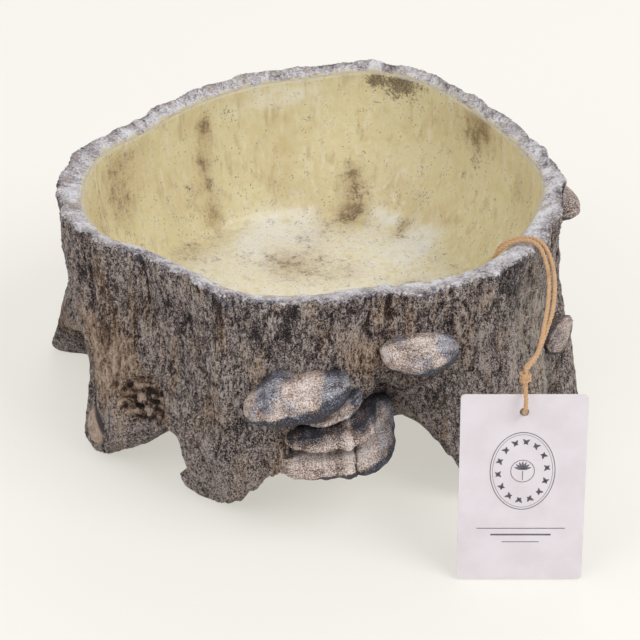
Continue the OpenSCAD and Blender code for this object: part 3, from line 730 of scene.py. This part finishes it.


# stains, moss, and milky pools with painted glare on the wall: azimuth, height, half width, half height,
# strength
stains = [
    (163, 90, 10, 17, 0.7), (157, 104, 10, 7, 0.45), (125, 86, 6, 14, 0.65), (126, 54, 7, 9, 0.95),
    (127, 70, 5, 14, 0.3), (124, 99, 4, 5, 1.0), (77, 61, 7, 9, 0.95), (76, 48, 11, 6, 1.1),
    (33, 111, 12, 10, 0.9), (38, 106, 11, 11, 0.6), (100, 56, 12, 8, 0.4), (54, 60, 8, 10, 0.4),
    (13, 94, 8, 14, 0.6), (176, 84, 9, 20, 0.7), (188, 92, 10, 14, 0.5), (143, 62, 10, 13, 0.4),
    (210, 92, 10, 14, 0.5), (240, 74, 9, 12, 0.5), (140, 47, 13, 2.5, 0.6), (154, 48, 12, 2.5, 0.5),
    (56, 48, 4, 3, 0.9), (10, 56, 5, 4, 0.8), (128, 78, 17, 28, 0.32), (160, 84, 19, 26, 0.36),
    (77, 58, 20, 20, 0.28), (38, 98, 24, 20, 0.34), (285, 88, 12, 12, 0.5), (330, 96, 9, 12, 0.55),
    (352, 70, 7, 18, 0.45), (185, 70, 6, 16, 0.4), (262, 98, 8, 6, 0.5),
]
mosses = [
    (66, 111, 10, 6.5, 1.3), (73, 111, 6, 5, 0.9), (60, 113, 7, 3, 0.5), (76, 56, 4, 5, 0.75),
    (75, 48, 6, 3, 0.6), (34, 110, 4, 5, 0.5),
]
pools_and_glare = [
    (109, 47, 7, 3, 0.4), (100, 47, 7, 3, 0.4), (92, 47, 6, 4, 0.4), (67, 49, 5, 3, 0.9),
    (61, 49, 5, 3, 0.9), (50, 48, 6, 4, 0.7), (42, 48, 6, 5, 0.5), (100, 106, 22, 6, 0.45),
    (185, 62, 18, 14, 0.45), (330, 52, 20, 8, 0.6),
]
# stains, and shallow milky pools with painted glare on the floor: azimuth, radius, half width, strength
blots = [
    (105, 35, 19, 0.85), (112, 47, 10, 0.3), (60, 30, 10, 0.5), (90, 60, 10, 0.45), (300, 20, 20, 0.5),
    (20, 50, 12, 0.5), (200, 55, 12, 0.5),
]
shallow_pools_and_glare = [(118, 57, 8, 0.7), (106, 62, 8, 0.9), (94, 64, 8, 0.7), (45, 72, 8, 0.5)]


def on_wall(places):
    return [(az, float(lining_r(az, z)), z, wide, high, k) for az, z, wide, high, k in places]


def on_floor(places):
    return [(az, r, floor_top, wide, 9, k) for az, r, wide, k in places]


def glaze_marks(p):
    """What the glaze's finish needs to know at points p."""
    below = rim_z(azimuth(p)) - rim_fall - 1.6 - p[..., 2]
    cream = ease((floor_edge(azimuth(p)) + 3 - radius(p)) / 22)
    return {
        "stain": spots(p, on_wall(stains) + on_floor(blots)) + 0.1,
        "moss": spots(p, on_wall(mosses)),
        # milky glaze and painted glare in the pools, and a milkier floor as a whole
        "milky_glaze_and_glare": limited(spots(p, on_wall(pools_and_glare) + on_floor(shallow_pools_and_glare)) + 0.5 * cream),
        "edge": limited(0.75 - below / 3),
    }


glaze_t, lining_t, cuts_round = 0.35, 1.6, 660
a = np.arange(cuts_round)[:, None] * 360 / cuts_round
t = np.linspace(0, 1, 62)
z = floor_top - 1 + (rim_z(a) - rim_fall - lining_t - floor_top + 1) * t
front = at(a, lining_r(a, z) - glaze_t, z)
wavy = 0.5 * speckle(front, 22, 1, 16) + 0.2 * speckle(front, 8, 1.4, 17)
wavy = wavy + 0.08 * speckle(front, 3, 1.4, 19)
front = front - outward(front) * (wavy * limited((1 - t) * 8) * limited(t * 6 - 0.3))[..., None]
lining = beside(front, at(a, lining_r(a, z[:, ::-20]) + lining_t, z[:, ::-20]))
faces = grid_faces(lining, True, True)[:, ::-1]
mesh_piece("glazed_wall", lining, faces, glaze, "glaze", "planter", marks=glaze_marks(lining))

# The floor is a slab let into the foot of the wall, glazed over with a small cove at its edge,
# and bored for drainage.
hole_r, dished, coat_up, cove_h, cove_in = 5.0, 0.4, 0.15, 3.6, 4.8
edge = floor_edge(a)
t = np.linspace(0, 1, 34)
bore = np.dstack([hole_r * np.cos(np.radians(a)), hole_r * np.sin(np.radians(a))])
flat = bore + (at(a, edge - glaze_t - cove_in, 0 * a)[..., :2] - bore) * t[:, None]
flat_z = floor_top + coat_up - dished * np.sin(np.pi * t) + 0 * a
uneven = 0.22 * speckle(np.dstack([flat, flat_z]), 14, 1, 18)
flat_z = flat_z + uneven * limited(t * 9) * limited((1 - t) * 9)
bend = np.linspace(0, 1, 12)[1:]
cove_z = floor_top + coat_up + cove_h * bend**2.2 + 0 * a
slab = beside(
    np.dstack([bore, base_h + 0 * a]),
    np.dstack([bore, floor_top - 0.6 + 0 * a]),
    np.dstack([flat, flat_z]),
    at(a, lining_r(a, cove_z) - glaze_t - cove_in * (1 - bend) ** 1.6, cove_z),
    at(a, lining_r(a, cove_z[:, -1:]) + 1.2, cove_z[:, -1:] + 0.6),
    at(a, edge + 2.4, base_h + 3.0 + 0 * a),
    at(a, edge - 1, base_h + 0 * a),
)
faces = grid_faces(slab, True, True)[:, ::-1]
mesh_piece("glazed_floor", slab, faces, glaze, "glaze", "planter", "bowl_floor", marks=glaze_marks(slab))

# Roots
# Seven root legs pressed on to the bark while wet. Their spread fades into the bark above, and
# each foot is rounded off where it meets the ground. A root is its lower outline, the azimuth of
# its foot, its reach and tuck, the top of its spread and the rise of its inner side.
crown, root_top, leg_in, rows_up = base_h - 2, 92, 27, 76
roots = {
    "left_root": (
        [[141, crown], [147, 31], [153, 0], [168, 0], [174, 25], [183, 31]], 161, 24, 0, root_top, 0),
    "left_front_root": (
        [[192, 31], [197, 26], [201, 8], [203.5, 1], [205, 0], [210, 0], [214, 3], [218, 8.5],
         [221.5, 13], [224.5, 17], [227.5, 22], [231, 29.5]], 206, 15, 4, root_top, 0),
    "front_root": (
        [[231, crown], [235, crown], [237, 33], [239.2, 12], [240.2, 8], [242, 1], [243, 0], [247, 0],
         [250, 4], [253.5, 8.5], [257, 17], [261.5, 28], [264, 33], [268, crown], [272, 35.8], [276, 40],
         [280, 46.4], [284, 52], [288, 55.4], [291, 55.5]], 249, 2, 8, root_top, 0),
    "right_front_root": (
        [[293, 54], [296.5, 45], [299.5, 37], [302, 30], [304, 23], [308, 10], [311, 0], [327, 0],
         [331, 22], [336, 30]], 318, 9, 0, 80, 40),
    "right_root": (
        [[336, 30], [342, 24], [345, 0], [360, 0], [366, 28], [375, crown]], 352, 12.5, 0, root_top, 0),
    "rear_right_root": (
        [[387, crown], [393, 29], [399, 0], [417, 0], [423, 29], [432, crown]], 408, 12, 0, root_top, 0),
    "rear_root": (
        [[447, crown], [456, 29], [462, 0], [483, 0], [492, 29], [501, crown]], 474, 15, 0, root_top, 0),
}


def ends(root):
    return root[0][0][0], root[0][-1][0]


def flank(root, a):
    """Share of the way from a root's middle to its end."""
    (first, last), mid = ends(root), root[1]
    return np.where(a < mid, (mid - a) / (mid - first), (a - mid) / (last - mid))


def swell(root, a):
    return np.maximum(0, 1 - flank(root, a) ** 2) ** 1.2


def lower_edge(line, a):
    x, y = np.array(line, float).T
    i = np.clip(np.searchsorted(x, a, side="right") - 1, 0, len(x) - 2)
    return y[i] + (y[i + 1] - y[i]) * ease((a - x[i]) / (x[i + 1] - x[i]))


def spread_z(root, a):
    row = under_z(a) + (rim_z(a) - rim_round - under_z(a)) * 3 / 11
    return row + 3 + (root[4] - row - 3) * swell(root, a) ** 0.6


def root_r(root, a, z):
    """Outer radius of a root; at the edge of its spread it sinks into the bark."""
    _, _, reach, tuck, _, _ = root
    first, last = ends(root)
    top = spread_z(root, a)
    aside = np.maximum(np.minimum(a - first, last - a), 0) * 1.95
    free = limited((under_z(a) + 6 - z) / 12)
    inside_mm = np.minimum(aside + 16 * free * limited(aside / 3), np.maximum(top - z, 0))
    near = np.maximum.reduce([wall_r(a, z - 3), wall_r(a, z), wall_r(a, z + 3)])
    near = wall_r(a, z) + (near - wall_r(a, z)) * free
    out = reach * swell(root, a) * limited((top - z) / top) ** 1.7
    return near - 0.9 + 2.4 * ease(inside_mm / 16) + out - tuck * limited((base_h - z) / base_h) ** 1.5


def capped_tube(grid):
    """Quads of a grid of closed loops, with both ends closed."""
    n, m = grid.shape[:2]
    i = np.arange(m // 2 - 1)
    caps = [end * m + np.stack([i, i + 1, m - 2 - i, m - 1 - i], 1) for end in (0, n - 1)]
    return np.vstack([grid_faces(grid, loop_m=True), caps[0][:, ::-1], caps[1]])


for name, root in roots.items():
    line, (first, last) = root[0], ends(root)
    a = np.linspace(first + 0.1, last - 0.1, int((last - first) * 4.2))[:, None]
    under, h, top = under_z(a), lower_edge(line, a), spread_z(root, a)
    toe = np.clip(0.4 * (under - h), 0.8, 5.0)
    deep = np.maximum(floor_edge(a), wall_r(a, 0 * a) - leg_in * (0.4 + 0.6 * swell(root, a)))
    deep_z = np.minimum(h + root[5] * flank(root, a), base_h - 2)
    z = h + toe + (top - h - toe) * np.linspace(0, 1, rows_up) ** 0.97
    r = root_r(root, a, z)
    c = np.linspace(0, np.pi / 2, 7)[:-1]
    t = np.linspace(0, 1, 9)[:-1]
    # a side tip on the foot of the front root points along the bark
    tip = -5.4 * ease(1 - np.abs(a - 238.5) / 8.0) * (name == "front_root")

    def turned(height):
        return a + tip * ease(1 - np.abs(height - 7) / 9)

    toe_z = h + toe * (1 - np.cos(c))
    leg = beside(
        at(turned(h) * t + a * (1 - t), deep + (r[:, :1] - toe - deep) * t, deep_z + (h - deep_z) * t),
        at(turned(toe_z), r[:, :1] - toe * (1 - np.sin(c)), toe_z),
        at(turned(z), r, z),
        at(a, wall_r(a, top) - np.array([3.5, 5]), beside(top - 1, (top + under) / 2)),
        at(a, np.maximum(wall_r(a, under) - 5, deep + 2), under + 1.5),
        at(a, deep + np.array([2.5, 1.2]), beside(0 * a + base_h + 1, (deep_z + base_h) / 2)),
    )
    relief, tone = bark_relief(leg)
    shown = np.concatenate([np.full(8, 0.5), np.linspace(0.6, 1, 6), np.ones(rows_up), np.zeros(5)])
    made = pushed(leg, relief * shown)
    if name == "left_front_root":
        hollow = ease((1.2 - from_spot(leg, knot_az, knot_z, knot_w, knot_h)) / 0.5)
        made -= outward(leg) * (10 * hollow * shown)[..., None]
    made[..., 2] = np.maximum(made[..., 2], 0)
    marks = bark_marks(leg, tone)
    mesh_piece(name + "_bark", made, capped_tube(made), bark, "root_bark", "planter", name, marks=marks)


# Knot and sawn stub
# Healed bark rolls over the edge of the rotten knot, which has light chips left in it. Below it
# a side root was sawn off, which leaves light wood with rings and drying cracks.
def skin_r(a, z):
    """Outer radius of bark or root at azimuth a and height z, without the fine relief."""
    a, z = np.broadcast_arrays(np.asarray(a, float), np.asarray(z, float))
    r = wall_r(a, z)
    for root in roots.values():
        first, last = ends(root)
        for b in (a % 360, a % 360 + 360):
            on_it = (b > first) & (b < last) & (z < spread_z(root, b))
            r = np.where(on_it, np.maximum(r, root_r(root, np.clip(b, first, last), z)), r)
    return r


def boss(name, az, z, half_w, half_h, reach, cuts, height, marks, paint, slot, node):
    """A round patch on the bark; height() and marks() take the distance and angle from its middle."""
    g = np.linspace(0, 2 * np.pi, 3 * cuts, endpoint=False)[:, None]
    d = np.linspace(0.02, reach, cuts) + 0 * g
    spot_a = az + np.degrees(half_w * d * np.cos(g) / float(skin_r(az, z)))
    spot_z = z + half_h * d * np.sin(g)
    face = at(spot_a, skin_r(spot_a, spot_z), spot_z)
    face = face + outward(face) * height(d, g + 0 * d, face)[..., None]
    far = at(az, radius(face).min() - 3, z) + 0 * face[:, :1]
    face = beside(face, face[:, -1:] - 4 * outward(face[:, -1:]), far)
    face[..., 2] = np.maximum(face[..., 2], 0)
    d, g = (beside(v, v[:, -1:], v[:, -1:]) for v in (d, g + 0 * d))
    faces = grid_faces(face, loop_n=True)[:, ::-1]
    mesh_piece(name, face, faces, paint, slot, "planter", node, marks=marks(d, g, face))


# pits of the knot: place from its middle, half width, half height and depth
knot_pits = [
    (-0.55, 0.5, 0.17, 0.34, 1.0), (0.72, 0.2, 0.32, 0.25, 1.0), (1.0, -0.36, 0.2, 0.16, 0.9),
    (-0.24, -0.38, 0.2, 0.12, 1.0), (-0.19, -0.9, 0.22, 0.12, 0.8), (0.05, 0.9, 0.3, 0.25, 0.5),
    (0.55, 0.75, 0.25, 0.2, 0.6), (0.3, -0.15, 0.14, 0.1, 0.7),
]


def rotten(d, g, p):
    """How deep the rot goes at a point of the knot, from 0 to 1: a slit on the left, and pits."""
    x, y = d * np.cos(g), d * np.sin(g)
    pits = sum(k * np.exp(-(((x - u) / w) ** 2) - ((y - v) / h) ** 2) for u, v, w, h, k in knot_pits)
    return limited(pits + 0.6 * limited(-speckle(p, 2.6, 1.0, 61) - 0.1))


def hollowed(d, g):
    """1 inside the hollow of the knot, 0 on the bark round it."""
    return ease((1.05 - np.hypot((d * np.cos(g) - 0.2) / 0.95, d * np.sin(g))) / 0.25)


def collar_height(d, g, p):
    inside = hollowed(d, g)
    rough = 1.3 * speckle(p, 3.4, 1.0, 62) + 0.9 * speckle(p, 1.6, 1.0, 63)
    lip = 1.6 * hump(d, 1.02, 0.16) * limited(-np.cos(g - 0.4))
    over = lip - 1.4 * ease((d - 1.1) / 0.2) + 0.8 * bark_relief(p)[0] * (1 - inside)
    return inside * (-1.8 - 4.6 * rotten(d, g, p) + rough) + over


def collar_marks(d, g, p):
    marks, inside = bark_marks(p, bark_relief(p)[1]), hollowed(d, g)
    chips = 0.66 + 0.4 * speckle(p, 3.4, 1.0, 62) + 0.35 * speckle(p, 1.6, 1.0, 63) - 0.8 * rotten(d, g, p)
    marks["tone"] = limited(marks["tone"] * (1 - inside) + chips * inside)
    marks["warm"] = limited(marks["warm"] + 0.5 * inside)
    return marks


boss(
    "knot_hole", knot_az, knot_z, knot_w, knot_h, 1.32, 70, collar_height, collar_marks, bark,
    "root_bark", "knot_collar",
)


def cut_wood_paint(s):
    fibre = s.grain(0.6, 4, detail=5, rough=0.7)
    rings = s.mark("ring")
    colour = s.mix((0.36, 0.255, 0.185), (0.57, 0.45, 0.36), fibre.band(0.38, 0.62))
    colour = colour.tint((0.17, 0.11, 0.075), rings * 0.35)
    colour = colour.tint((0.14, 0.105, 0.085), s.grain(4, detail=4).band(0.52, 0.66) * 0.6)
    colour = colour.tint((0.07, 0.058, 0.056), (s.mark("dark") + (fibre - 0.5) * 0.8).band(0.2, 0.8))
    return colour, 0.7 + 0.2 * fibre, fibre + rings * 0.4, 0.4


def stub_height(d, g, p):
    domed = -1.2 + 2.9 * (1 - ease((d - 0.72) / 0.42)) - 0.6 * hump(d, 0, 0.3)
    return domed + 0.35 * speckle(p, 2.5, 1, 41)


def stub_marks(d, g, p):
    rings = 0.5 + 0.5 * np.sin(d * 22 + 2 * speckle(p, 4, 1, 43))
    return {"ring": rings, "dark": ease((d - 0.72 + 0.12 * np.sin(2 * g)) / 0.35)}


stub_az, stub_z, stub_r = 211.5, 17.0, 8.0
cut_wood = finish("cut_wood", cut_wood_paint, {"Specular IOR Level": 0.3})
boss(
    "sawn_stub", stub_az, stub_z, stub_r, stub_r * 1.12, 1.3, 46, stub_height, stub_marks, cut_wood,
    "cut_wood", "root_stub",
)

# Bracket fungi
# Shelves of clay pressed on to the bark: domed and pitted above, with bands that follow the
# lip, a rounded lip, and an underside darkened with painted shade.
bracket_edge, seat_gap, crack_at = 1.0, 0.35, 0.08
# each: azimuth, half its width in degrees, height, rise to the right, how far it reaches up and
# down, how far it stands out; then base tone, blue grey at its left and right end, tone of the
# lip, how far up the painted shade under the shelf reaches, and depth of the folds
brackets = {
    "bracket_top": ((267.3, 11.5, 70.5, 10, 10.5, 7, 15), (0.73, 1.1, 1.6, 0.7, 0.54, 0.3)),
    "bracket_second": ((275, 6.5, 65.3, 9, 2, 3, 11.5), (0.6, 1.2, 1.4, 0.6, 0.34, 0.4)),
    "bracket_third": ((275.7, 10.7, 54.3, 5, 4.5, 4.5, 16), (0.24, 0.75, 0.85, 0.57, 0.24, 1.0)),
    "bracket_bottom": ((278.1, 14.0, 41.8, 2, 5.5, 7.0, 23.3), (0.76, 0.0, 1.0, 0.6, 0.46, 0.6)),
    "bracket_right_front": ((294.5, 8.5, 86, -1, 9, 8, 11), (0.83, 0.3, 2.6, 0.66, 0.4, 0.3)),
    "bracket_right": ((343, 6, 50, 0, 8, 7, 3.5), (0.5, 0.3, 0.4, 0.5, 0.4, 0.4)),
    "bracket_rear_right": ((8, 7, 93, 0, 8, 7, 16.5), (0.55, 0.4, 0.4, 0.55, 0.4, 0.4)),
}


def heaped(name, s):
    """Clay heaped behind a shelf, in millimetres, along its width from -1 to 1."""
    if name == "bracket_bottom":
        return 7 * ease((s - 0.3) / 0.45)
    return 5 * hump(s, -0.4, 0.32) * (name == "bracket_top")


def fungus_paint(s):
    pores = s.grain(0.6, detail=4, rough=0.7)
    blot = s.grain(5, detail=5)
    dots = s.cells(1.3, 1)
    webbed = s.grain(1.2, detail=2, rough=0.6, shift=27).lines(0.05)
    tone = s.mark("tone") + (pores - 0.5) * 2.6 + (blot - 0.5) * 0.8 + (webbed - 0.4) * 0.3
    colour = tone.ramp(
        (0.08, (0.026, 0.021, 0.026)), (0.3, (0.115, 0.085, 0.078)), (0.5, (0.335, 0.24, 0.185)),
        (0.72, (0.575, 0.45, 0.38)), (0.95, (0.79, 0.7, 0.65)),
    )
    slate = tone.ramp(
        (0.08, (0.022, 0.022, 0.032)), (0.3, (0.072, 0.076, 0.095)), (0.5, (0.195, 0.195, 0.228)),
        (0.72, (0.365, 0.355, 0.395)), (0.95, (0.68, 0.66, 0.67)),
    )
    bluish = s.mark("blue") + (blot - 0.5) * 2.4 + (pores - 0.5) * 2.4
    colour = colour.tint(slate, bluish.band(0.15, 1.15))
    colour = colour.tint((0.085, 0.066, 0.064), (1 - dots.band(0.12, 0.3)) * tone.band(0.42, 0.6) * 0.55)
    height = pores * 0.6 + blot * 0.3 + dots.band(0.1, 0.4) * 0.4
    return colour, 0.42 + 0.35 * pores, height, 0.5


fungus = finish("fungus", fungus_paint, {"Specular IOR Level": 0.4})
outline = [[0.12, 0], [0.58, 0.05], [0.9, 0.16], [1, 0.32], [0.92, 0.55], [0.62, 0.82], [0.2, 1]]
profile = smooth_line(outline, 10)
profile = profile[np.linspace(0, len(profile) - 1, 60).round().astype(int)]
px, pz = profile.T
s = np.sin(np.linspace(-np.pi / 2, np.pi / 2, 130))[:, None] * 0.999
e = np.sqrt(np.maximum(0, 1 - s * s))
upper, near_lip = ease((pz - 0.3) / 0.25), hump(px, 0.97, 0.16)
for name, (size, look) in brackets.items():
    az, half, mid_z, rise, up_t, down_t, reach = size
    base_tone, blue_left, blue_right, lip_tone, shade_up_to, folded = look
    a = az + half * s
    mid = mid_z + rise / 2 * s
    low, high = mid - down_t * e - bracket_edge / 2, mid + up_t * e + bracket_edge / 2
    base = np.maximum.reduce([skin_r(a, v) for v in (low, mid, high)]) + seat_gap
    middle = max(float(skin_r(az, v)) for v in (mid_z - down_t, mid_z, mid_z + up_t)) + seat_gap
    lip_r = middle + (base - middle) * s**2
    p = np.maximum(1, lip_r - base + 1 + reach * np.sqrt(np.maximum(0, 1 - np.abs(s) ** 2.4)))
    heap = heaped(name, s)
    shell = at(a, base + px * p, low + (high - low) * pz + heap * ease((0.85 - px) / 0.6) * (pz > 0.5))
    arc = at(a, 110, 0 * a) + 0 * shell
    ridge = np.sin(px * 20 + 1.5 * speckle(shell, 12, 1, 51))
    fold = speckle(arc, 3.2, 1, 52) + 0.6 * speckle(arc, 1.6, 1, 56)
    lumps = speckle(shell, 8, 1, 53) * 0.6 + speckle(shell, 3, 1, 54) * 0.35
    lumps = lumps + speckle(shell, 1.3, 1, 55) * 0.2
    split = line_of(s - crack_at - 0.02 * np.sin(pz * 9) - 0.015 * speckle(shell, 2, 1, 57), 0.022)
    split = split * (name == "bracket_bottom")
    moved = 0.7 * lumps + 0.18 * ridge * upper + 0.55 * folded * fold * (0.25 + near_lip) - 1.5 * split
    shell = pushed(shell, moved * np.minimum(1, e * 2.5))
    seat_z = high - (high - low) * np.array([0.02, 0.5, 0.98]) + heap * np.array([1.0, 0.5, 0.0])
    shelf = beside(shell, at(a, skin_r(a, seat_z) - 2.5, seat_z))
    tone = base_tone + 0.12 * lumps + 0.06 * ridge * upper + 0.16 * folded * fold
    tone = tone + (lip_tone - base_tone) * near_lip
    # painted shade under the shelf: its underside and the lower part of its lip are darkened and turned
    # bluer
    dark = ease((shade_up_to + 0.2 * s + 0.05 * speckle(shell, 4, 1, 58) - pz) / 0.12)
    rooted = np.exp(-((1 - pz) / 0.008)) * 0.2
    tone = limited(tone * (1 - dark) + 0.14 * dark - split - rooted)
    blue = blue_left * hump(s, -0.55, 0.28) + blue_right * ease((s - 0.05) / 0.9)
    blue = blue * (1 - 0.6 * near_lip) * (1 - 0.6 * np.exp(-((s + 1) / 0.2)))
    blue = limited(blue + dark * 0.6 + 0.3 * speckle(shell, 6, 1, 59) * (blue_left + blue_right))
    tone = limited(tone + (0.1 * hump(s, 0.22, 0.25) - 0.22 * blue) * (1 - dark))
    seat_tone = limited(beside(tone[:, -6:-5], tone[:, :1], tone[:, :1]) - 0.15)
    marks = {"tone": beside(tone, seat_tone), "blue": beside(blue, blue[:, -1:], blue[:, :1], blue[:, :1])}
    mesh_piece(name + "_shelf", shelf, capped_tube(shelf), fungus, "fungus", "planter", name, marks=marks)

# Floor, lights and air
# A plain pale floor that keeps the object's shadow, three broad soft lamps and an even sky.
ground = bpy.data.meshes.new("ground")
ground.from_pydata([(-6, -6, 0), (6, -6, 0), (6, 6, 0), (-6, 6, 0)], [], [(0, 1, 2, 3)])
ground.update()
floor = bpy.data.objects.new("ground", ground)
floor.location = (0, 0, -0.0002)
bpy.context.collection.objects.link(floor)
paper = bpy.data.materials.new("paper")
paper.use_nodes = True
sheet, nodes = Shade(paper.node_tree), paper.node_tree.nodes
sheet.fill(nodes["Principled BSDF"], {"Base Color": (0.92, 0.9, 0.86), "Roughness": 0.9})
even = sheet.node("ShaderNodeEmission", {"Color": (0.955, 0.925, 0.84), "Strength": 1.0})
rays = ("Is Camera Ray", "Is Glossy Ray", "Is Transmission Ray")
seen, mirrored, refracted = (sheet.node("ShaderNodeLightPath", out=ray) for ray in rays)
lit = Shade(paper.node_tree, nodes["Principled BSDF"].outputs[0])
mixed = sheet.node("ShaderNodeMixShader", {0: (seen + mirrored + refracted) * 0.55, 1: lit, 2: even})
sheet.fill(nodes["Material Output"], {"Surface": mixed})
ground.materials.append(paper)

for label, place, size, power in (
    ("key", (1.1, -0.65, 1.45), 1.0, 17),
    ("fill", (-1.1, -0.9, 1.1), 1.2, 8.5),
    ("back", (0.2, 1.4, 1.3), 1.2, 7),
):
    lamp = bpy.data.lights.new(label, "AREA")
    lamp.size, lamp.energy = size, power
    lamp_object = bpy.data.objects.new(label, lamp)
    lamp_object.location = place
    lamp_object.rotation_euler = (Vector((0, 0, 0.05)) - Vector(place)).to_track_quat("-Z", "Y").to_euler()
    bpy.context.collection.objects.link(lamp_object)

air = bpy.data.worlds.new("air")
bpy.context.scene.world = air
air.use_nodes = True
sky = {"Color": (0.93, 0.95, 1.0), "Strength": 0.55}
Shade(air.node_tree).fill(air.node_tree.nodes["Background"], sky)
bpy.context.scene.view_settings.view_transform = "Standard"
